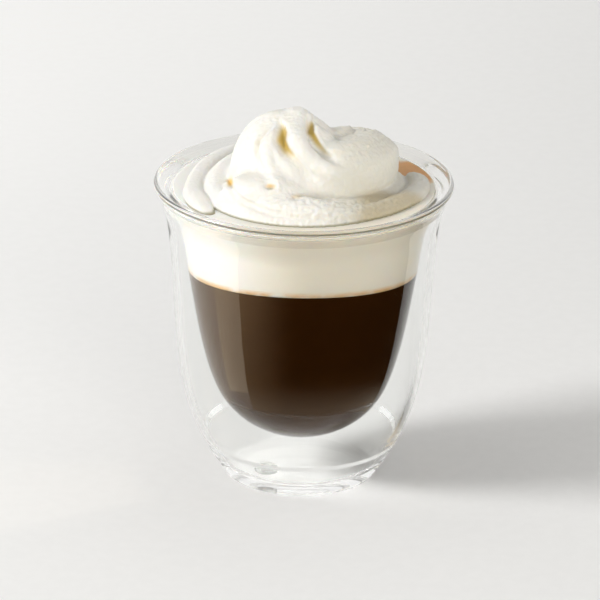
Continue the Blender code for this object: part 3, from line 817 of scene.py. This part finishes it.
class Finish:
    """A Principled material whose nodes are added one after another."""

    def __init__(self, name):
        self.material = bpy.data.materials.new(name)
        self.material.use_nodes = True
        self.nodes = self.material.node_tree.nodes
        self.links = self.material.node_tree.links
        self.shader = self.nodes["Principled BSDF"]
        self.place = self.nodes.new("ShaderNodeTexCoord").outputs["Object"]

    def put(self, socket, value):
        """A fixed value on one socket of the shader."""
        self.shader.inputs[socket].default_value = value

    def noise(self, scale, detail=4.0, roughness=0.5, distortion=0.0):
        """Noise on the piece's own coordinates, with its scale per metre."""
        node = self.nodes.new("ShaderNodeTexNoise")
        node.inputs["Scale"].default_value = scale
        node.inputs["Detail"].default_value = detail
        node.inputs["Roughness"].default_value = roughness
        node.inputs["Distortion"].default_value = distortion
        self.links.new(self.place, node.inputs["Vector"])
        return node.outputs["Fac"]

    def ramp(self, factor, *stops):
        """A colour ramp from (position, colour) stops."""
        node = self.nodes.new("ShaderNodeValToRGB")
        elements = node.color_ramp.elements
        while len(elements) < len(stops):
            elements.new(0.5)
        for element, (position, colour) in zip(elements, stops):
            element.position = position
            element.color = (*colour, 1)
        self.links.new(factor, node.inputs["Fac"])
        return node.outputs["Color"]

    def rise(self, value, low, high, to_low=0.0, to_high=1.0):
        """A value mapped smoothly from one range to another."""
        node = self.nodes.new("ShaderNodeMapRange")
        node.interpolation_type = "SMOOTHSTEP"
        node.inputs["From Min"].default_value = low
        node.inputs["From Max"].default_value = high
        node.inputs["To Min"].default_value = to_low
        node.inputs["To Max"].default_value = to_high
        self.links.new(value, node.inputs["Value"])
        return node.outputs["Result"]

    def math(self, operation, a, b=0.0):
        """One sum of two values, each a socket or a number."""
        node = self.nodes.new("ShaderNodeMath")
        node.operation = operation
        for socket, value in zip(node.inputs, (a, b)):
            if isinstance(value, (int, float)):
                socket.default_value = value
            else:
                self.links.new(value, socket)
        return node.outputs["Value"]

    def mix(self, factor, a, b):
        """A colour between a and b, each a socket or a colour."""
        node = self.nodes.new("ShaderNodeMix")
        node.data_type = "RGBA"
        self.links.new(factor, node.inputs["Factor"])
        for socket, value in zip((node.inputs[6], node.inputs[7]), (a, b)):
            if isinstance(value, tuple):
                socket.default_value = (*value, 1)
            else:
                self.links.new(value, socket)
        return node.outputs[2]

    def attribute(self, name):
        """A value kept on the piece's own points."""
        node = self.nodes.new("ShaderNodeAttribute")
        node.attribute_name = name
        return node.outputs["Fac"]

    def axes(self):
        """The piece's X, Y and Z as three values."""
        node = self.nodes.new("ShaderNodeSeparateXYZ")
        self.links.new(self.place, node.inputs["Vector"])
        return node.outputs["X"], node.outputs["Y"], node.outputs["Z"]

    def radius(self, x, y):
        """How far from the Z axis, or from the point that x and y are measured from."""
        squares = self.math("ADD", self.math("POWER", x, 2.0), self.math("POWER", y, 2.0))
        return self.math("SQRT", squares)

    def edge_line(self, x, y, z):
        """1 at the foot of the soft cream, fading to 0 a little above it."""
        squares = self.math("SUBTRACT", self.math("POWER", y, 2.0), self.math("POWER", x, 2.0))
        swell_here = self.math("MULTIPLY", squares, LEVEL_SWELL / BOWL_TOP[0] ** 2)
        above = self.math("SUBTRACT", self.math("SUBTRACT", z, swell_here), ESPRESSO_LEVEL)
        return self.rise(above, 0.3 * MM, GOLDEN_HEIGHT, 1.0, 0.0)

    def patch(self, x, y):
        """1 around the place of the brown crema on the soft cream's top, and 0 farther off."""
        ragged = self.math("MULTIPLY", self.noise(160), 8 * MM)
        across = self.math("SUBTRACT", x, PATCH_PLACE[0])
        away = self.radius(across, self.math("SUBTRACT", y, PATCH_PLACE[1]))
        return self.rise(self.math("ADD", away, ragged), PATCH_RADIUS, PATCH_RADIUS + 3 * MM, 1.0, 0.0)

    def bump(self, height, strength, distance):
        """Relief from a height."""
        node = self.nodes.new("ShaderNodeBump")
        node.inputs["Strength"].default_value = strength
        node.inputs["Distance"].default_value = distance
        self.links.new(height, node.inputs["Height"])
        self.links.new(node.outputs["Normal"], self.shader.inputs["Normal"])

    def feed(self, socket, value):
        """A changing value on one socket of the shader."""
        self.links.new(value, self.shader.inputs[socket])

    def let_shadows_through(self, share):
        """Lets each face pass that share of a lamp's light straight on."""
        passing = self.nodes.new("ShaderNodeBsdfTransparent")
        passing.inputs["Color"].default_value = (share, share, share, 1)
        path = self.nodes.new("ShaderNodeLightPath")
        choice = self.nodes.new("ShaderNodeMixShader")
        self.links.new(path.outputs["Is Shadow Ray"], choice.inputs["Fac"])
        self.links.new(self.shader.outputs["BSDF"], choice.inputs[1])
        self.links.new(passing.outputs["BSDF"], choice.inputs[2])
        self.links.new(choice.outputs["Shader"], self.nodes["Material Output"].inputs["Surface"])


def clear_glass(name, ior):
    """Blown glass with faint waves. Shadow rays pass it with a little loss at each face."""
    finish = Finish(name)
    finish.put("Base Color", (0.985, 0.99, 0.985, 1))
    finish.put("Transmission Weight", 1.0)
    finish.put("Roughness", 0.0)
    finish.put("IOR", ior)
    finish.bump(finish.noise(60, detail=1.0), 0.006, 1 * MM)
    finish.let_shadows_through(SHADOW_PASS)
    return finish


def lip_glass():
    """The glass of the lip, with a painted dark line of shade along the front of its edge, standing in for
    the dark refraction there.
    """
    finish = clear_glass("lip_glass", LIP_IOR)
    x, y, z = finish.axes()
    off_line = finish.math("ABSOLUTE", finish.math("SUBTRACT", z, LIP_CENTRE[1]))
    line = finish.rise(off_line, 0.5 * PAINTED_EDGE_HALF_WIDTH, PAINTED_EDGE_HALF_WIDTH, 1.0, 0.0)
    edge = finish.rise(finish.radius(x, y), RIM_RADIUS - LIP_RADIUS, RIM_RADIUS - 0.3 * MM)
    front = finish.rise(y, -6 * MM, -14 * MM)
    # painted shade: the thin dark line along the front of the lip's edge
    dark = finish.math("MULTIPLY", finish.math("MULTIPLY", line, edge), front)
    finish.feed("Base Color", finish.mix(dark, LIP_TINT, PAINTED_EDGE_SHADE))
    return finish


def melted_finish():
    """The uneven melted glass of the vent drop, slightly cloudy."""
    finish = Finish("melted_glass")
    finish.put("Base Color", (0.97, 0.98, 0.95, 1))
    finish.put("Transmission Weight", 1.0)
    finish.put("Roughness", 0.08)
    finish.put("IOR", 1.3)
    finish.put("Coat Weight", 1.0)
    finish.put("Coat Roughness", 0.05)
    finish.put("Coat IOR", 1.5)
    finish.bump(finish.noise(900, detail=2.0), 0.5, 1 * MM)
    finish.let_shadows_through(SHADOW_PASS)
    return finish.material


def coffee_finish():
    """Black coffee with painted light: browner on the left, where the light comes in, and low in the bowl.
    """
    finish = Finish("coffee")
    x, _, z = finish.axes()
    cloud = finish.noise(70, detail=3.0)
    # painted light: lighter brown low in the bowl and on the left, where the light comes in
    depth = finish.rise(z, 14 * MM, 36 * MM)
    painted_lit_left = finish.rise(finish.math("SUBTRACT", 0.0, x), 1 * MM, 18 * MM)
    deep = finish.mix(cloud, (0.030, 0.0095, 0.0012), (0.024, 0.0075, 0.0008))
    shade = finish.mix(depth, (0.075, 0.035, 0.012), deep)
    lit = finish.mix(cloud, (0.105, 0.064, 0.035), (0.09, 0.052, 0.025))
    finish.feed("Base Color", finish.mix(painted_lit_left, shade, lit))
    finish.put("Roughness", 0.25)
    finish.put("IOR", 1.1)
    finish.put("Specular IOR Level", 0.1)
    return finish.material


def layer_finish():
    """Soft cream with a golden line of crema where it meets the coffee, a brown patch on top, and painted
    light that makes it paler on the left.
    """
    finish = Finish("soft_cream")
    x, y, z = finish.axes()
    cloud = finish.noise(60, detail=3.0)
    body = finish.ramp(cloud, (0.3, (0.83, 0.775, 0.665)), (0.7, (0.85, 0.80, 0.69)))
    # painted light: paler on the left, where the light comes in
    painted_lit_left = finish.rise(finish.math("SUBTRACT", 0.0, x), 2 * MM, 20 * MM)
    side = finish.mix(painted_lit_left, body, (0.87, 0.86, 0.825))
    golden = finish.math("MULTIPLY", finish.edge_line(x, y, z), finish.rise(finish.noise(140), 0.35, 0.6))
    top = finish.rise(z, LAYER_LEVEL - 0.3 * MM, LAYER_LEVEL - 0.05 * MM)
    patch = finish.math("MULTIPLY", finish.patch(x, y), top)
    crema = finish.mix(finish.noise(400), (0.62, 0.27, 0.06), (0.80, 0.42, 0.14))
    lined = finish.mix(golden, side, (0.78, 0.50, 0.24))
    finish.feed("Base Color", finish.mix(patch, lined, crema))
    finish.put("Roughness", 0.45)
    finish.put("Subsurface Weight", 0.6)
    finish.put("Subsurface Radius", (1.0, 0.75, 0.5))
    finish.put("Subsurface Scale", 1.5 * MM)
    return finish.material


def cream_finish():
    """Whipped cream: matt, with painted light and shade: whiter on the left, darker on the right, a painted
    brown shade low at the front, painted dark shade at its foot towards the glass, and painted yellow shade
    in its grooves and dents.
    """
    finish = Finish("whipped_cream")
    cloud = finish.noise(250, detail=5.0)
    body = finish.ramp(cloud, (0.3, (0.80, 0.78, 0.72)), (0.7, (0.82, 0.80, 0.75)))
    x, y, z = finish.axes()
    # painted shade: darker and yellower towards the right, away from the light
    right = finish.mix(finish.rise(x, 1 * MM, 12 * MM), body, (0.69, 0.665, 0.585))
    # painted shade: a brown band low on the front right coil, where its underside is in shade
    coil_height = finish.rise(z, 75.5 * MM, 73.5 * MM)
    low_right = finish.math("MULTIPLY", coil_height, finish.rise(x, 10 * MM, 15 * MM))
    low_front_right = finish.math("MULTIPLY", low_right, finish.rise(y, -6 * MM, -11 * MM))
    painted_shade_band = finish.math("MULTIPLY", low_front_right, 0.8)
    # painted light: whiter on the left, where the light comes in
    painted_lit_left = finish.rise(finish.math("SUBTRACT", 0.0, x), 12 * MM, 20 * MM)
    skin = finish.mix(painted_lit_left, finish.mix(painted_shade_band, right, (0.50, 0.42, 0.27)), (0.86, 0.84, 0.79))
    # painted shade: dark olive along the foot of the front, where the cream meets the glass
    low = finish.rise(z, FOOT_SHADE, LAYER_LEVEL + 0.1 * MM)
    foot = finish.math("MULTIPLY", low, finish.rise(y, -8 * MM, -14 * MM))
    skin = finish.mix(finish.math("MULTIPLY", foot, 0.85), skin, (0.26, 0.235, 0.13))
    # painted shade: yellow in the grooves and orange-yellow in the dents
    fold = finish.attribute("fold")
    groove_shaded = finish.mix(finish.rise(fold, 0.25, 1.0), skin, (0.58, 0.42, 0.10))
    dent_shaded = finish.rise(finish.attribute("pocket"), 0.0, 1.0, 0.0, 0.9)
    finish.feed("Base Color", finish.mix(dent_shaded, groove_shaded, (0.85, 0.55, 0.12)))
    finish.put("Roughness", 0.5)
    finish.put("Subsurface Weight", 0.5)
    finish.put("Subsurface Radius", (1.0, 0.8, 0.55))
    finish.put("Subsurface Scale", 0.7 * MM)
    finish.bump(finish.noise(1500, detail=4.0), 0.4, 0.2 * MM)
    return finish.material


def floor_finish():
    """A pale surface that glows a little brighter towards the back on the left: painted light."""
    finish = Finish("pale_floor")
    colour = finish.ramp(finish.noise(300), (0.4, (0.86, 0.855, 0.84)), (0.6, (0.87, 0.865, 0.85)))
    finish.feed("Base Color", colour)
    finish.put("Roughness", 0.7)
    finish.put("Specular IOR Level", 0.2)
    x, y, _ = finish.axes()
    # painted light: the floor glows brighter towards the back on the left
    to_back_left = finish.math("SUBTRACT", finish.math("MULTIPLY", y, 0.7), x)
    finish.put("Emission Color", (1.0, 0.995, 0.985, 1))
    finish.feed("Emission Strength", finish.rise(to_back_left, -0.02, 0.40, 0.0, BACK_GLOW))
    return finish.material


def make_floor():
    """The pale floor."""
    deselect()
    bpy.ops.mesh.primitive_plane_add(size=6.0, location=(0, 0, 0))
    floor = bpy.context.object
    floor.name = "floor"
    floor.data.materials.append(floor_finish())


def area_light(name, place, aim, size, energy, colour=(1.0, 1.0, 1.0)):
    """A soft rectangular light."""
    lamp = bpy.data.lights.new(name, "AREA")
    lamp.shape = "RECTANGLE"
    lamp.size, lamp.size_y = size
    lamp.energy = energy
    lamp.color = colour
    light = bpy.data.objects.new(name, lamp)
    place = Vector(place)
    light.location = place
    light.rotation_euler = (Vector(aim) - place).to_track_quat("-Z", "Y").to_euler()
    bpy.context.scene.collection.objects.link(light)
    return light


def make_world():
    """Pale surroundings, brightest near the horizon and dark above the camera's side."""
    world = bpy.data.worlds.new("studio")
    world.use_nodes = True
    nodes, links = world.node_tree.nodes, world.node_tree.links
    direction = nodes.new("ShaderNodeTexCoord").outputs["Generated"]
    axes = nodes.new("ShaderNodeSeparateXYZ")
    links.new(direction, axes.inputs["Vector"])

    def share(socket, low, high, to_low, to_high):
        step = nodes.new("ShaderNodeMapRange")
        step.interpolation_type = "SMOOTHSTEP"
        for name, value in (("From Min", low), ("From Max", high), ("To Min", to_low), ("To Max", to_high)):
            step.inputs[name].default_value = value
        links.new(socket, step.inputs["Value"])
        return step.outputs["Result"]

    overhead = share(axes.outputs["Z"], 0.3, 0.8, WORLD_HORIZON, WORLD_OVERHEAD)
    front = share(axes.outputs["Y"], -0.75, -0.15, WORLD_FRONT, 1.0)
    product = nodes.new("ShaderNodeMath")
    product.operation = "MULTIPLY"
    links.new(overhead, product.inputs[0])
    links.new(front, product.inputs[1])
    background = nodes["Background"]
    background.inputs["Color"].default_value = (1.0, 0.995, 0.985, 1)
    links.new(product.outputs["Value"], background.inputs["Strength"])
    bpy.context.scene.world = world


def make_card(name, sweep, inner, height, glow, edge_glow):
    """A flat card in front of the glass or beside it, that only reflections and refractions show: its dark
    or glowing face is a painted reflection in the glass.
    """
    deselect()
    bpy.ops.mesh.primitive_plane_add(size=MM, location=(0, 0, 0))
    card = bpy.context.object
    card.name = name
    bpy.ops.object.mode_set(mode="EDIT")
    bpy.ops.mesh.select_all(action="SELECT")
    bpy.ops.mesh.merge(type="CENTER")
    angle = math.radians(CARD_EDGE)
    toward = Vector((math.cos(angle), math.sin(angle), 0))
    bpy.ops.transform.translate(value=toward * inner + Vector((0, 0, height)))
    bpy.ops.mesh.extrude_region_move(TRANSFORM_OT_translate={"value": toward * (CARD_REACH - inner)})
    bpy.ops.mesh.select_all(action="SELECT")
    bpy.ops.mesh.spin(steps=48, angle=-math.radians(sweep), center=(0, 0, 0), axis=(0, 0, 1))
    bpy.ops.object.mode_set(mode="OBJECT")
    finish = Finish(name)
    finish.put("Base Color", (0.01, 0.01, 0.01, 1))
    finish.put("Specular IOR Level", 0.0)
    finish.put("Roughness", 1.0)
    finish.put("Emission Color", (1.0, 0.89, 0.72, 1))
    x, y, _ = finish.axes()
    strength = finish.rise(finish.radius(x, y), inner, inner + CARD_FADE, edge_glow, glow)
    finish.feed("Emission Strength", strength)
    card.data.materials.append(finish.material)
    for rays in ("camera", "diffuse", "volume_scatter", "shadow"):
        setattr(card, "visible_" + rays, False)


def make_lights():
    """A soft key light from the left, a weak fill from the front, pale surroundings and the two cards."""
    make_world()
    make_card("dark_card", CARD_SWEEP, DARK_CARD_INNER, 0.5 * MM, 0.0, CARD_EDGE_GLOW)
    make_card("bright_card", -BRIGHT_SWEEP, BRIGHT_CARD_INNER, 0.7 * MM, BRIGHT_CARD_GLOW, BRIGHT_CARD_GLOW)
    turn = math.radians(KEY_TURN)
    height = math.radians(KEY_ELEVATION)
    level = math.cos(height)
    toward = Vector((-math.cos(turn) * level, -math.sin(turn) * level, math.sin(height)))
    aim = Vector((0, 0, 40 * MM))
    area_light("key", aim + toward * KEY_DISTANCE, aim, (KEY_SIZE, KEY_SIZE), KEY_POWER)
    fill = area_light("fill", FILL_PLACE, aim, FILL_SIZE, FILL_POWER, (1.0, 0.985, 0.95))
    fill.visible_glossy = False
    fill.visible_transmission = False


def make_camera():
    """The camera at the photograph's angle."""
    elevation = math.radians(CAMERA_ELEVATION)
    roll = math.radians(CAMERA_ROLL)
    forward = Vector((0, math.cos(elevation), -math.sin(elevation)))
    level_right = Vector((1, 0, 0))
    level_up = level_right.cross(forward)
    right = level_right * math.cos(roll) + level_up * math.sin(roll)
    up = level_up * math.cos(roll) - level_right * math.sin(roll)
    lens = bpy.data.cameras.new("camera")
    lens.sensor_width = SENSOR_WIDTH
    lens.lens = FOCAL_PIXELS / FRAME_PIXELS * SENSOR_WIDTH
    lens.shift_x = (FRAME_PIXELS / 2 - CENTRE_PIXEL[0]) / FRAME_PIXELS
    lens.shift_y = (CENTRE_PIXEL[1] - FRAME_PIXELS / 2) / FRAME_PIXELS
    camera = bpy.data.objects.new("camera", lens)
    turn = Matrix((right, up, -forward)).transposed().to_4x4()
    camera.matrix_world = Matrix.Translation(CAMERA_TARGET - forward * CAMERA_DISTANCE) @ turn
    bpy.context.scene.collection.objects.link(camera)
    bpy.context.scene.camera = camera


make_camera()
make_lights()
make_floor()
make_espresso()
make_layer()
make_cream()
make_vent_drop()
make_glass()
bpy.context.scene.view_settings.view_transform = "Standard"
bpy.context.scene.cycles.max_bounces = GLASS_BOUNCES
bpy.context.scene.cycles.glossy_bounces = GLASS_BOUNCES
bpy.context.scene.cycles.transmission_bounces = GLASS_BOUNCES
